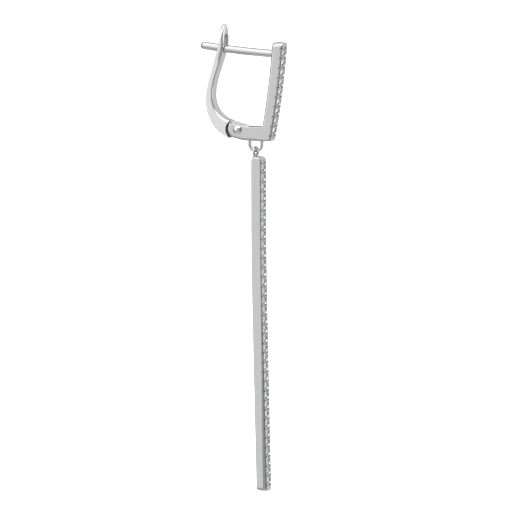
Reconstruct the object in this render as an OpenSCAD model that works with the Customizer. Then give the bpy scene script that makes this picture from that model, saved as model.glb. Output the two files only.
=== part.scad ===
// Bar earring: a hinged clasp with a stone-set front bar, and a long stone-set bar hanging under it.
// Millimetres. X points forward, out of the stone faces, Y runs across the bars, Z is up.
// The origin is the seat of the ear, on the middle line of the post.

/* [Bars] */
// Width of both bars, across the stones
bar_w = 1.86; // [1.7:0.02:2.2]
// Depth of the front bar, back to stones
front_depth = 1.5; // [1.3:0.05:1.8]
// Height of the front bar above the middle line of the post
front_rise = 1.28; // [1.1:0.02:1.8]
// Forward lean of the front bar, in degrees
front_lean = 7.8; // [4:0.5:10]
// Forward bow of the front bar at its middle
front_bow = 0.2; // [0:0.05:0.4]
// Depth of the hanging bar, back to stones
drop_depth = 1.4; // [1.3:0.05:1.7]
// Length of the hanging bar
drop_len = 43.1; // [43.1:0.1:46]
// Forward sweep of the lower end of the hanging bar
drop_sweep = 0.78; // [0:0.01:1.2]
// Share of the hanging bar that is plumb, above the soft bend
plumb_share = 0.3; // [0.2:0.05:0.5]
// Rounding of the bar ends, seen from the front
end_round = 0.5; // [0.2:0.05:0.7]
// Rounding of the shoulders of the hanging bar, seen from the side
shoulder_round = 0.55; // [0.2:0.05:0.6]
// Rounding of the lower corners, seen from the side
heel_round = 0.3; // [0.1:0.05:0.4]

/* [Stones] */
// Diameter of a stone
stone_d = 1.1; // [0.9:0.02:1.12]
// Number of stones in the front bar
front_count = 9; // [5:1:9]
// Spacing of the stones in the front bar
front_pitch = 1.25; // [1.24:0.01:1.27]
// Number of stones in the hanging bar
drop_count = 34; // [20:1:34]
// Spacing of the stones in the hanging bar
drop_pitch = 1.22; // [1.22:0.01:1.24]
// Depth of the girdle below the face of the bar
stone_sink = 0.17; // [0.12:0.01:0.22]
// Play between a stone and its seat
seat_play = 0.03; // [0.02:0.005:0.04]
// Depth of the notches in the rails of the front bar, between the stones
front_notch = 0.14; // [0.1:0.01:0.2]
// Depth of the notches in the rails of the hanging bar, between the stones
drop_notch = 0.11; // [0.1:0.01:0.2]
// Radius of the notches in the rails
notch_r = 0.21; // [0.2:0.01:0.26]
// Width of the prongs left inside the rails
prong_w = 0.26; // [0.2:0.02:0.3]
// Width of the channel between the two rows of prongs
channel_w = 0.7; // [0.6:0.02:0.8]
// Depth of the channel between the two rows of prongs
channel_depth = 0.24; // [0.2:0.01:0.28]

/* [Post] */
// Diameter of the post
post_d = 1.0; // [0.8:0.05:1.1]
// Reach of the post behind the seat of the ear
post_reach = 6.66; // [6:0.02:7]
// Upward tilt of the post towards its tip, at the seat of the ear, in degrees
post_tilt = 3.95; // [2:0.05:5]
// Radius of the gentle bend of the post
post_bend_r = 120; // [100:5:200]

/* [Clasp] */
// Distance from the seat of the ear to the back of the front bar
front_gap = 3.58; // [3:0.05:4]
// Distance from the middle line of the post down to the arm
arm_drop = 9.57; // [9:0.01:10]
// Height of the arm
arm_h = 1.82; // [1.7:0.02:2]
// How round the underside of the arm is in front of the hinge
arm_round = 4; // [3:0.1:4.5]
// Distance of the hinge behind the seat of the ear
pin_back = 1.07; // [1:0.01:1.2]
// Distance of the hinge below the top of the arm
pin_sink = 0.4; // [0.36:0.01:0.5]
// Radius of the hinge pin
pin_r = 0.35; // [0.3:0.01:0.4]
// Radius of the domed heads of the hinge pin
head_r = 0.6; // [0.5:0.01:0.64]
// Height of the domed heads of the hinge pin
head_h = 0.34; // [0.2:0.01:0.4]
// Radius of the round ends of the cheeks, about the hinge
cheek_r = 1.4; // [1.35:0.01:1.45]
// Thickness of the tongue of the lever, between the cheeks
tongue_w = 0.8; // [0.6:0.02:0.9]
// Rise of the knuckle above the arm
knuckle_rise = 0.37; // [0.2:0.01:0.45]

/* [Lever] */
// Height of the tip of the lever above the middle line of the post
lever_rise = 3.45; // [3.4:0.05:3.8]
// Distance of the belly of the lever behind the seat of the ear
belly_back = 5.63; // [5.3:0.01:6]
// Depth of the belly below the middle line of the post
belly_drop = 6.35; // [6.1:0.01:6.5]
// Rise of the inner side of the belly above the outer one
belly_lift = 0.57; // [0.4:0.01:0.7]
// Thickness of the lever at its belly
belly_t = 0.92; // [0.8:0.02:1.1]
// Outer radius of the lower bend
bend_out_r = 5.08; // [5:0.01:5.3]
// Inner radius of the lower bend
bend_in_r = 3.18; // [3.1:0.01:3.3]
// Distance of the outer face of the paddle behind the seat of the ear
paddle_back = 3.57; // [3.5:0.01:3.7]
// Thickness of the paddle
paddle_t = 0.45; // [0.35:0.01:0.55]
// Width of the strap of the lever
strap_w = 1.7; // [1.6:0.02:1.8]
// Width of the paddle
paddle_w = 2.2; // [2:0.02:2.4]
// Length of the slot above the top of the post
slot_lift = 1.4; // [1.38:0.01:1.5]

/* [Hanging loop] */
// Distance of the loops in front of the seat of the ear
hang_fore = 1.1; // [1.05:0.01:1.2]
// Outer radius of the half ring under the arm
ring_r = 1.0; // [0.95:0.01:1.05]
// Drop of the centre of the half ring below the arm
ring_drop = 0.48; // [0.4:0.01:0.55]
// Thickness of the band of the half ring
ring_t = 0.32; // [0.28:0.01:0.34]
// Width of the band of the half ring
ring_w = 0.58; // [0.5:0.01:0.6]
// Outer radius of the loop of the hanging bar
loop_r = 0.77; // [0.74:0.01:0.8]
// Radius of the hole in the loop
loop_hole_r = 0.44; // [0.43:0.005:0.46]
// Thickness of the loop
loop_t = 0.32; // [0.28:0.01:0.36]
// Distance from the half ring's band down to the hanging bar, from the middle of the band
neck_drop = 0.68; // [0.68:0.01:0.9]
// Distance of the middle of the hanging bar in front of its loop
bar_fore = 0.4; // [0:0.01:0.45]

/* [Clearances] */
// Play of the pin in the cheeks
cheek_play = 0.02; // [0.01:0.005:0.03]
// Play of the lever on the pin
bore_play = 0.04; // [0.03:0.005:0.06]
// Play on each side of the tongue
tongue_play = 0.05; // [0.04:0.005:0.08]
// Gap between the cheeks and the shoulder of the lever
hinge_gap = 0.16; // [0.1:0.01:0.2]
// Play of the post in the slot of the lever
slot_play = 0.08; // [0.06:0.005:0.12]
// Distance of the middle of the hole above which the half ring's band hangs
hang_play = 0.12; // [0.1:0.01:0.13]

/* [Hidden] */
$fn = 48;
silver = [0.77, 0.77, 0.79];
crystal = [0.88, 0.92, 0.96];
bar_steps = 9;
bend_share = 0.12;
curve_steps = 14;
corner_steps = 6;
past = 1;
tip_step = 0.01;
bend_out_end = 253;
bend_in_end = 262;
tongue_start = 225;
root_angle = 244;

arm_top = -arm_drop;
arm_low = arm_top - arm_h;
pin_x = -pin_back;
pin_z = arm_top - pin_sink;
front_h = front_rise - arm_low;
ring_z = arm_low - ring_drop;
band_z = ring_z - ring_r + ring_t / 2;
loop_z = band_z - hang_play;
drop_top = band_z - neck_drop;
drop_low = drop_top - drop_len;
drop_x = hang_fore + bar_fore + drop_depth / 2;
slot_r = norm([knuckle_reach(), knuckle_rise + pin_sink]) + hinge_gap / 2;

// Proportions of a round stone, as shares of its diameter
table_share = 0.56;
crown_share = 0.15;
star_share = 0.78;
pavilion_share = 0.43;
lower_share = 0.3;
girdle_share = 0.03;

// Reach of the heel of the tongue in front of the hinge
function knuckle_reach() = cheek_r * 0.9;

// Points of an arc in the side view
function arc(o, r, a0, a1, n = curve_steps) = [for (i = [0:n]) let(a = a0 + (a1 - a0) * i / n)
    o + r * [cos(a), sin(a)]];

// Points of a cubic curve with two handles
function bezier(a, b, c, d, n = curve_steps) = [for (i = [0:n]) let(t = i / n, s = 1 - t)
    s * s * s * a + 3 * s * s * t * b + 3 * s * t * t * c + t * t * t * d];

// Points that round the corner at b, between a and c
function corner(a, b, c, r, n = corner_steps) =
    let(u = (a - b) / norm(a - b), v = (c - b) / norm(c - b), h = acos(u * v) / 2)
    let(o = b + (u + v) / norm(u + v) * r / sin(h), s = b + u * r / tan(h), e = b + v * r / tan(h))
    let(a0 = atan2(s.y - o.y, s.x - o.x), a1 = atan2(e.y - o.y, e.x - o.x))
    arc(o, r, a0, a1 - 360 * round((a1 - a0) / 360), n);

function reversed(list) = [for (i = [len(list) - 1:-1:0]) list[i]];

// Face of the front bar at the height z: a leaning line with a bow
function front_share(z) = (z - arm_low) / front_h;
function front_bulge(z) = 4 * front_bow * front_share(z) * (1 - front_share(z));
function front_face(z) = front_gap + front_depth + z * tan(front_lean) + front_bulge(z) - front_bulge(0);
function front_slope(z) = tan(front_lean) + 4 * front_bow * (1 - 2 * front_share(z)) / front_h;

// Face of the hanging bar at the height z: plumb at the top, slanting forward below a soft bend
function bend(t) = (t + norm([t, bend_share])) / 2;
function bent(z) = (drop_top - z) / drop_len - plumb_share;
bend_reach = bend(1 - plumb_share) - bend(-plumb_share);
function drop_face(z) = drop_x + drop_sweep * (bend(bent(z)) - bend(-plumb_share)) / bend_reach;
function bend_slope(t) = (1 + t / norm([t, bend_share])) / 2;
function drop_slope(z) = -drop_sweep / drop_len * bend_slope(bent(z)) / bend_reach;

// Places of the stones: height, face and slope of each
function row(n, pitch, mid) = [for (i = [0:n - 1]) mid + (i - (n - 1) / 2) * pitch];
function front_places(n) = [for (z = row(n, front_pitch * cos(front_lean), (front_rise + arm_low) / 2))
    [front_face(z), z, front_slope(z)]];
function drop_places(n) = [for (z = row(n, drop_pitch, (drop_top + drop_low) / 2))
    [drop_face(z), z, drop_slope(z)]];
front_row = front_places(front_count);
drop_row = drop_places(drop_count);

// Bands of the side view, from the face back to a depth
function steps(z0, z1) = [for (i = [0:bar_steps]) z0 + (z1 - z0) * i / bar_steps];
function front_line(back, z0 = arm_low, z1 = front_rise) = [for (z = steps(z0, z1)) [front_face(z) - back, z]];
function drop_line(back, z0 = drop_low, z1 = drop_top) = [for (z = steps(z0, z1)) [drop_face(z) - back, z]];

// Solid of a side view, w wide
module slab(w) {
    rotate([90, 0, 0]) linear_extrude(height = w, center = true) children();
}

// Solid of a front view, through the whole depth
module facing(depth = 40) {
    rotate([90, 0, 90]) linear_extrude(height = depth, center = true) children();
}

// Cylinder along Y at x, z
module crosswise(x, z, r, h) {
    translate([x, 0, z]) rotate([90, 0, 0]) cylinder(r = r, h = h, center = true);
}

// Frame of a stone: its children look forward out of the face
module at_stone(s) {
    translate([s[0], 0, s[1]]) rotate([0, atan(s[2]), 0]) rotate([0, 90, 0]) children();
}

// Front view of a bar with rounded corners
module bar_front(z0, z1, r0, r1) {
    h = bar_w / 2;
    polygon(concat(
        corner([-h, z1], [-h, z0], [h, z0], r0), corner([-h, z0], [h, z0], [h, z1], r0),
        corner([h, z0], [h, z1], [-h, z1], r1), corner([h, z1], [-h, z1], [-h, z0], r1)));
}

// Seat of one stone: a straight wall round the girdle, and a cone under it
module seat() {
    r = stone_d / 2 + seat_play;
    low = stone_sink + girdle_share * stone_d;
    rotate_extrude() polygon([[0, -low - pavilion_share * stone_d - seat_play * 2], [r, -low - seat_play / 2],
        [r, past], [0, past]]);
}

// What is cut from a face: a seat for each stone, and notches in both rails beside the prongs
module settings(stones, gaps, depth) {
    inner = channel_w / 2 + prong_w;
    for (s = stones) at_stone(s) seat();
    for (s = gaps, side = [-1, 1]) at_stone(s) translate([0, side * (inner + past), notch_r - depth])
        rotate([90, 0, 0]) cylinder(r = notch_r, h = 2 * past, center = true);
}

// Round brilliant: table, star, kite and girdle facets above, kites and halves below
module brilliant() {
    r = stone_d / 2;
    rt = r * table_share;
    rs = r * star_share;
    rl = r * lower_share;
    hc = stone_d * crown_share;
    hp = stone_d * pavilion_share;
    g = stone_d * girdle_share;
    zs = hc * (r - rs * cos(22.5)) / (r - rt);
    zl = -g - hp * (1 - rl * cos(22.5) / r);
    pts = concat(
        [for (k = [0:7]) [rt * cos(45 * k), rt * sin(45 * k), hc]],
        [for (k = [0:7]) [rs * cos(45 * k + 22.5), rs * sin(45 * k + 22.5), zs]],
        [for (j = [0:15]) [r * cos(22.5 * j), r * sin(22.5 * j), 0]],
        [for (j = [0:15]) [r * cos(22.5 * j), r * sin(22.5 * j), -g]],
        [for (k = [0:7]) [rl * cos(45 * k + 22.5), rl * sin(45 * k + 22.5), zl]],
        [[0, 0, -g - hp]]);
    faces = concat(
        [[for (k = [7:-1:0]) k]],
        [for (k = [0:7]) [k, (k + 1) % 8, 8 + k]],
        [for (k = [0:7]) [k, 8 + k, 16 + 2 * k, 8 + (k + 7) % 8]],
        [for (k = [0:7]) [8 + k, 16 + 2 * k + 1, 16 + 2 * k]],
        [for (k = [0:7]) [8 + k, 16 + (2 * k + 2) % 16, 16 + 2 * k + 1]],
        [for (j = [0:15]) [16 + j, 16 + (j + 1) % 16, 32 + (j + 1) % 16, 32 + j]],
        [for (k = [0:7]) [48 + k, 32 + 2 * k, 32 + 2 * k + 1]],
        [for (k = [0:7]) [48 + k, 32 + 2 * k + 1, 32 + (2 * k + 2) % 16]],
        [for (k = [0:7]) [56, 48 + (k + 7) % 8, 32 + 2 * k, 48 + k]]);
    translate([0, 0, -stone_sink]) polyhedron(points = pts, faces = faces);
}

// Side view of the front bar and its arm, in one L with the round end of the cheeks
module frame_side() {
    pin = [pin_x, pin_z];
    up = asin((knuckle_rise + pin_sink) / cheek_r);
    low = asin((arm_h - pin_sink - knuckle_rise) / cheek_r);
    line = front_line(0);
    back = front_line(front_depth);
    foot = [front_face(arm_low), arm_low];
    crown = [front_face(front_rise), front_rise];
    nape = [front_face(front_rise) - front_depth, front_rise];
    crook = [front_face(arm_top) - front_depth, arm_top];
    knuckle = arc(pin, cheek_r, 180 - up, 180 + low);
    polygon(concat(
        knuckle,
        corner(knuckle[curve_steps], [pin_x + cheek_r / 2, arm_low], foot, arm_round),
        corner([pin_x, arm_low], foot, line[1], heel_round),
        [for (i = [1:bar_steps - 1]) line[i]],
        corner(line[bar_steps - 1], crown, nape, heel_round / 2),
        corner(crown, nape, back[bar_steps - 1], heel_round),
        [for (i = [bar_steps - 1:-1:1]) if (back[i].y > arm_top + heel_round) back[i]],
        [crook, [pin_x + knuckle_reach(), arm_top]]));
}

// Post: a wire with a gentle bend, round at its tip and let into the front bar
module post() {
    root = front_gap + front_depth / 2;
    a0 = 90 - post_tilt;
    a1 = a0 + asin(root / post_bend_r);
    a2 = a0 - asin((post_reach - post_d / 2) / post_bend_r);
    centre = post_bend_r * [sin(post_tilt), 0, cos(post_tilt)];
    translate(centre) rotate([90, 0, 0]) {
        rotate([0, 0, 180 + a2]) rotate_extrude(angle = a1 - a2, $fn = 720)
            translate([post_bend_r, 0]) circle(d = post_d, $fn = 48);
        rotate([0, 0, 180 + a2]) translate([post_bend_r, 6 * tip_step, 0]) sphere(d = post_d - 2 * tip_step);
    }
}

// Half ring under the arm: a flat band with round edges
module band_section() {
    square([ring_t, ring_w - ring_t], center = true);
    for (s = [-1, 1]) translate([0, s * (ring_w - ring_t) / 2]) circle(d = ring_t, $fn = 32);
}

module half_ring() {
    mid = ring_r - ring_t / 2;
    translate([hang_fore, 0, ring_z]) {
        rotate([90, 0, 0]) rotate([0, 0, 180]) rotate_extrude(angle = 180, $fn = 96)
            translate([mid, 0]) band_section();
        for (s = [-1, 1]) translate([s * mid, 0, 0]) linear_extrude(height = ring_drop + arm_h / 4) band_section();
    }
}

module front_frame() color(silver) {
    difference() {
        intersection() {
            slab(bar_w) frame_side();
            facing() bar_front(arm_low, front_rise, heel_round, end_round);
        }
        settings(front_row, front_places(front_count + 1), front_notch);
        slab(channel_w) channel(front_line(channel_depth, front_row[0][1], front_row[front_count - 1][1]));
        crosswise(pin_x, pin_z, pin_r + cheek_play, bar_w + 2 * past);
        fork();
    }
    post();
    half_ring();
}

// Side view of a channel: from a line forward into the open
module channel(line) {
    polygon(concat(line, [for (p = reversed(line)) p + [past, 0]]));
}

// Slot between the cheeks, round at its end
module fork() {
    w = tongue_w + 2 * tongue_play;
    crosswise(pin_x, pin_z, slot_r, w);
    translate([pin_x - 2 * cheek_r, -w / 2, pin_z - 2 * cheek_r]) cube([2 * cheek_r, w, 4 * cheek_r]);
}

// Outer and inner edge of the lever in the side view, from the hinge up to the tip
hip_o = [-belly_back + bend_out_r, -belly_drop];
hip_i = [-belly_back + belly_t + bend_in_r, -belly_drop + belly_lift];
paddle_z = lever_rise - 1.6;
reach = paddle_z + belly_drop;
reach_in = reach - belly_lift;
outer_edge = concat(
    reversed(arc(hip_o, bend_out_r, 180, bend_out_end)),
    bezier([-belly_back, hip_o.y], [-belly_back, hip_o.y + 0.33 * reach],
        [-paddle_back, paddle_z - 0.21 * reach], [-paddle_back, paddle_z]));
inner_edge = concat(
    reversed(arc(hip_i, bend_in_r, 180, bend_in_end)),
    bezier([-belly_back + belly_t, hip_i.y], [-belly_back + belly_t, hip_i.y + 0.37 * reach_in],
        [-paddle_back + paddle_t, paddle_z - 0.42 * reach_in], [-paddle_back + paddle_t, paddle_z]));

module lever_side() {
    difference() {
        polygon(concat(outer_edge, [[-paddle_back, lever_rise], [-paddle_back + paddle_t, lever_rise]],
            reversed(inner_edge)));
        translate([pin_x, pin_z]) circle(r = cheek_r + hinge_gap, $fn = 96);
    }
}

// Side view of the tongue: an eye round the pin, a heel in front of it and a root in the lever
module tongue_side() {
    eye_r = pin_sink + knuckle_rise * 0.95;
    heel = [pin_x + knuckle_reach() - hinge_gap / 2, arm_top + 0.15];
    polygon(concat(
        arc(hip_i, bend_in_r, tongue_start, bend_in_end, 6),
        [heel, heel - [0, eye_r / 2]],
        arc([pin_x, pin_z], eye_r, -10, -120),
        [hip_o + (bend_out_r - paddle_t / 2) * [cos(root_angle), sin(root_angle)]]));
}

// Half width of the lever at the height z: wide at the hinge, slim at the strap, wide and round at the paddle
function ease(t) = let(s = max(0, min(1, t))) s * s * (3 - 2 * s);
function lever_half(z) = let(
    low = bar_w / 2 + (strap_w - bar_w) / 2 * ease((z - pin_z) / 4),
    wide = low + (paddle_w - strap_w) / 2 * ease((z + 2.2) / 3.4),
    cap = paddle_w * 0.86)
    z > lever_rise - cap ? wide * pow(max(0, 1 - pow((z - lever_rise + cap) / cap, 2)), 0.75) : wide;

module lever_front() {
    z0 = pin_z - 2;
    span = lever_rise - z0;
    side = concat([for (i = [0:24]) let(z = z0 + span * 0.92 * i / 24) [lever_half(z), z]],
        [for (i = [1:7]) let(z = z0 + span * (0.92 + 0.08 * sin(90 * i / 8))) [lever_half(z), z]]);
    polygon(concat(side, [[0, lever_rise]], [for (p = reversed(side)) [-p.x, p.y]]));
}

// Slot that the post passes through, long enough for it as the lever opens
module post_slot() {
    w = post_d + 2 * slot_play;
    z0 = paddle_back * tan(post_tilt);
    low = z0 - post_d / 2 - slot_play + w / 2;
    high = z0 + post_d / 2 + slot_lift - w / 2;
    translate([-paddle_back, 0, 0]) rotate([0, 90, 0]) {
        for (z = [low, high]) translate([-z, 0, 0]) cylinder(d = w, h = 4, center = true);
        translate([-high, -w / 2, -2]) cube([high - low, w, 4]);
    }
}

module lever() color(silver) difference() {
    union() {
        intersection() {
            slab(2 * paddle_w) lever_side();
            facing() lever_front();
        }
        slab(tongue_w) tongue_side();
    }
    crosswise(pin_x, pin_z, pin_r + bore_play, bar_w + 2 * past);
    post_slot();
}

// Rivet with a domed head on each cheek
module hinge_pin() color(silver) {
    face = bar_w / 2 + cheek_play;
    ball = (head_r * head_r + head_h * head_h) / (2 * head_h);
    crosswise(pin_x, pin_z, pin_r, 2 * face);
    for (s = [-1, 1]) translate([pin_x, s * face, pin_z]) rotate([-90 * s, 0, 0]) intersection() {
        translate([0, 0, head_h - ball]) sphere(r = ball);
        cylinder(r = head_r + past, h = head_h + past);
    }
}

// Side view of the hanging bar, with round shoulders
module drop_side() {
    line = drop_line(0);
    back = drop_line(drop_depth);
    n = bar_steps;
    polygon(concat(
        corner(back[1], back[0], line[0], heel_round),
        corner(back[0], line[0], line[1], heel_round / 2),
        [for (i = [1:n - 1]) line[i]],
        corner(line[n - 1], line[n], back[n], shoulder_round),
        corner(line[n], back[n], back[n - 1], shoulder_round),
        [for (i = [n - 1:-1:1]) back[i]]));
}

module drop_bar() color(silver) difference() {
    union() {
        difference() {
            intersection() {
                slab(bar_w) drop_side();
                facing() bar_front(drop_low, drop_top, end_round, heel_round);
            }
            settings(drop_row, drop_places(drop_count + 1), drop_notch);
            slab(channel_w) channel(drop_line(channel_depth, drop_row[0][1], drop_row[drop_count - 1][1]));
        }
        translate([hang_fore, 0, loop_z]) rotate([0, 90, 0]) cylinder(r = loop_r, h = loop_t, center = true);
    }
    translate([hang_fore, 0, loop_z]) rotate([0, 90, 0])
        cylinder(r = loop_hole_r, h = loop_t + drop_depth * 2, center = true);
}

module front_stones() color(crystal) for (s = front_row) at_stone(s) brilliant();

module drop_stones() color(crystal) for (s = drop_row) at_stone(s) brilliant();

front_frame();
lever();
hinge_pin();
drop_bar();
front_stones();
drop_stones();
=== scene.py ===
# %% [markdown]
# # A bar earring, dressed for its portrait
# The real piece is cast silver, polished by hand: a short bar of stones in front of the ear, a hinged
# lever behind it, and a long bar of stones that swings from a small loop. The CAD model holds every size
# and moving place. This lesson puts the soft edges, cut stones, prongs and polish of the jeweller on top
# of it.
#
# Every new surface here is worked out with numpy. A shape is written as a function of two numbers, one
# along the piece and one round it, and the whole grid of points is computed at once.

import bmesh
import bpy
import numpy as np
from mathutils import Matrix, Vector


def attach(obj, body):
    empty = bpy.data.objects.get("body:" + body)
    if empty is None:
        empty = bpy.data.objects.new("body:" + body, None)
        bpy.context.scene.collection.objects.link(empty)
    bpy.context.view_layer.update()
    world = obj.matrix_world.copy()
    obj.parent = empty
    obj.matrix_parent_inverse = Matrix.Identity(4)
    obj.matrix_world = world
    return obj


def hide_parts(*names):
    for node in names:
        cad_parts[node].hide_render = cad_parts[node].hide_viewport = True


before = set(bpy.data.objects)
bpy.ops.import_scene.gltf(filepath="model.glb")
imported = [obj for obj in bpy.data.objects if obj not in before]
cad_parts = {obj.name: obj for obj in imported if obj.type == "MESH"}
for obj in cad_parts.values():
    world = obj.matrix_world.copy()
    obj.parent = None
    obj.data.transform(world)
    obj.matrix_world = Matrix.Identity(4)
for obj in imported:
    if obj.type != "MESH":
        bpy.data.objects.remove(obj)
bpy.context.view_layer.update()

MM = 0.001
print("nodes:", sorted(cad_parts))

# %% [markdown]
# ## Sizes
# The pieces have to sit exactly where the CAD model has them, so the same driving sizes are named again,
# in millimetres. X is forward out of the stones, Y is across the bars, Z is up, and the origin is where
# the ear sits on the post.

# %% Sizes of the bars and stones
BAR_HALF = 0.93
FRONT_DEPTH, FRONT_TOP, FRONT_GAP = 1.5, 1.28, 3.58
FRONT_LEAN, FRONT_BOW = np.radians(7.8), 0.2
ARM_TOP, ARM_LOW = -9.57, -11.39
DROP_DEPTH, DROP_TOP, DROP_LEN = 1.4, -13.39, 43.1
DROP_BACK, DROP_SWEEP, PLUMB_SHARE, BEND_SHARE = 0.8, 0.78, 0.3, 0.12
DROP_LOW = DROP_TOP - DROP_LEN
STONE_D, STONE_SINK = 1.1, 0.17
FRONT_STONES, FRONT_PITCH = 9, 1.25 * np.cos(FRONT_LEAN)
DROP_STONES, DROP_PITCH = 34, 1.22
print("hanging bar:", DROP_LEN, "mm long with", DROP_STONES, "stones of", STONE_D, "mm")

# %% Sizes of the clasp
PIN = np.array([-1.07, -9.97])
PIN_R, HEAD_R, HEAD_H, HEAD_FACE = 0.35, 0.6, 0.34, 0.95
CHEEK_R, HINGE_GAP, KNUCKLE = 1.4, 0.16, 0.37
POST_R, POST_TIP, POST_BEND, POST_TILT = 0.5, 6.6, 120.0, np.radians(3.95)
LEVER_TOP, BELLY, BELLY_T, BELLY_LIFT = 3.45, np.array([-5.63, -6.35]), 0.92, 0.57
BEND_OUT, BEND_IN, PADDLE_X, PADDLE_T = 5.08, 3.18, -3.57, 0.53
STRAP_HALF, PADDLE_HALF, TONGUE_HALF, SLOT_HALF = 0.85, 1.1, 0.4, 0.58
HANG_X, BAND_Z, RING_R, RING_T, RING_W = 1.1, -12.71, 1.0, 0.32, 0.58
LOOP_Z, LOOP_OUT, LOOP_HOLE, LOOP_T = -12.83, 0.77, 0.44, 0.32
print("hinge at x, z:", PIN, "mm, with cheeks of radius", CHEEK_R, "mm")

# %% [markdown]
# ## Grids become skins
# A jeweller sees a wire or a bar as one section carried along a line. In numpy that is a grid of points
# with one row for each section. Neighbouring rows are joined by four-sided faces, and the last point of a
# row joins the first. Faces can be listed in Python one by one, but with a hundred thousand of them it is
# far quicker to compute all their corner numbers as one array and hand it to the mesh with `foreach_set`.

# %% A closed skin from a grid of points
SAME_PLACE = 2e-7      # metres


def fill_mesh(name, points, quads, smooth=True):
    """Mesh of four-sided faces, from points in millimetres and four corner numbers for each face."""
    mesh = bpy.data.meshes.new(name)
    mesh.vertices.add(len(points))
    mesh.vertices.foreach_set("co", (points * MM).astype(np.float32).ravel())
    mesh.loops.add(quads.size)
    mesh.loops.foreach_set("vertex_index", quads.astype(np.int32).ravel())
    mesh.polygons.add(len(quads))
    mesh.polygons.foreach_set("loop_start", np.arange(0, quads.size, 4, dtype=np.int32))
    mesh.polygons.foreach_set("use_smooth", np.full(len(quads), smooth))
    mesh.update(calc_edges=True)
    return mesh


def volume(points, quads):
    """Sum over the faces of a third of corner times face area; positive when the faces look outwards."""
    a, b, c, d = (points[quads[:, k]] for k in range(4))
    return float((a * (np.cross(b, c) + np.cross(c, d))).sum() / 6)


def skin(name, rows):
    """Object whose surface joins row to row and, round each row, the last point to the first."""
    n, m = rows.shape[:2]
    i, j = np.meshgrid(np.arange(n - 1), np.arange(m), indexing="ij")
    k = (j + 1) % m
    quads = np.stack([i * m + j, i * m + k, (i + 1) * m + k, (i + 1) * m + j], -1).reshape(-1, 4)
    points = rows.reshape(-1, 3)
    if volume(points, quads) < 0:
        quads = quads[:, ::-1]
    obj = bpy.data.objects.new(name, fill_mesh(name, points, quads))
    bpy.context.scene.collection.objects.link(obj)
    return obj


def weld(obj, sharp_degrees=40):
    """Joins points that lie in one place, drops faces of no area, and keeps the steep edges crisp."""
    work = bmesh.new()
    work.from_mesh(obj.data)
    bmesh.ops.remove_doubles(work, verts=work.verts, dist=SAME_PLACE)
    bmesh.ops.dissolve_degenerate(work, edges=work.edges, dist=SAME_PLACE / 2)
    work.to_mesh(obj.data)
    work.free()
    obj.data.set_sharp_from_angle(angle=np.radians(sharp_degrees))
    print(f"{obj.name}: {len(obj.data.polygons)} faces")
    return obj

# %% [markdown]
# ## The section of a polished bar
# Filed and polished metal has no knife edges: the bar's section is a rectangle with small round corners.
# A Bevel modifier could round a box, but the stone face below needs its own fine grid, so the rounding is
# written into the section. Each point of it is a share of the flat part plus a share of the corner's
# radius.

# %% Rounded section
def section(front=5, side=7, corner=5, back=None):
    """Loop of (flat_a, flat_b, round_a, round_b): a runs from back to front, b runs across.

    A point of the section is flat times (half size - radius) plus round times radius, on each axis. The
    back has as many points as the front, unless it is told otherwise.
    """
    def arc(start, n=corner):
        angle = np.radians(start + 90 * np.arange(1, n) / n)
        sign_a, sign_b = np.sign(np.cos(np.radians(start + 45))), np.sign(np.sin(np.radians(start + 45)))
        return np.c_[np.full(n - 1, sign_a), np.full(n - 1, sign_b), np.cos(angle), np.sin(angle)]

    def flat(n, start, end, axis, sign):
        run = np.linspace(start, end, n)
        full = np.full(n, float(sign))
        zero = np.zeros(n)
        return np.c_[full, run, full, zero] if axis == 0 else np.c_[run, full, zero, full]

    return np.concatenate([
        flat(front, -1, 1, 0, 1), arc(0), flat(side, 1, -1, 1, 1), arc(90),
        flat(back or front, 1, -1, 0, -1), arc(180), flat(side, -1, 1, 1, -1), arc(270)])

# %% [markdown]
# ## Between two rails
# Seen from the side, the lever, the arm and both bars are each a strip between two drawn lines, one on
# the inside and one on the outside. So one function makes them all: it carries the rounded section
# between the two rails, as wide across as it is told at each place. Where a strip ends at the hinge, its
# last sections are bent into the arc round the pin.

# %% Strip between two rails
def between_rails(inner, outer, half, round_in, round_out, bow=0.0, loop=None, relief=None):
    """Grid of points: middle of the rails + a along the rung + b across, with a bow square to the rung.

    inner and outer are (n, 2) points in X and Z, half is the half width at each row, and round_in and
    round_out are the radii of the corners along the two rails. The bow falls from its full value at the
    rung's middle to zero at the rails, as one minus a square. relief(a, b, high) returns a and b carved.
    """
    loop = section() if loop is None else loop
    n = len(inner)
    rung = outer - inner
    size = np.linalg.norm(rung, axis=1)
    along = rung / size[:, None]
    normal = np.c_[-along[:, 1], along[:, 0]]
    high = (size / 2)[:, None]
    wide = np.broadcast_to(half, n)[:, None]
    corner_in, corner_out = (np.broadcast_to(r, n)[:, None] for r in (round_in, round_out))
    r = np.where(loop[:, 0] > 0, corner_out, corner_in)
    closed = wide == 0
    r = np.minimum(r, np.minimum(high, np.where(closed, r, wide)))
    a = loop[:, 0] * (high - r) + loop[:, 2] * r
    b = np.where(closed, 0.0, loop[:, 1] * (wide - r) + loop[:, 3] * r)
    share = 1 - (a / high) ** 2
    if relief is not None:
        a, b = relief(a, b, high)
    bend = np.broadcast_to(bow, n)[:, None] * share
    middle = (inner + outer) / 2
    x = middle[:, :1] + a * along[:, :1] + bend * normal[:, :1]
    z = middle[:, 1:] + a * along[:, 1:] + bend * normal[:, 1:]
    return np.stack([x, b, z], -1)

# %% [markdown]
# ## Lines to draw with
# The rails themselves are drawn from arcs, cubic curves and soft steps, as a pattern maker draws them
# with a compass and a bent strip. Each helper returns the whole line as one array of points.

# %% Steps, arcs and curves
def smooth_step(t):
    """0 below 0, 1 above 1, and 3t² - 2t³ between."""
    t = np.clip(t, 0, 1)
    return t * t * (3 - 2 * t)


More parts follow.
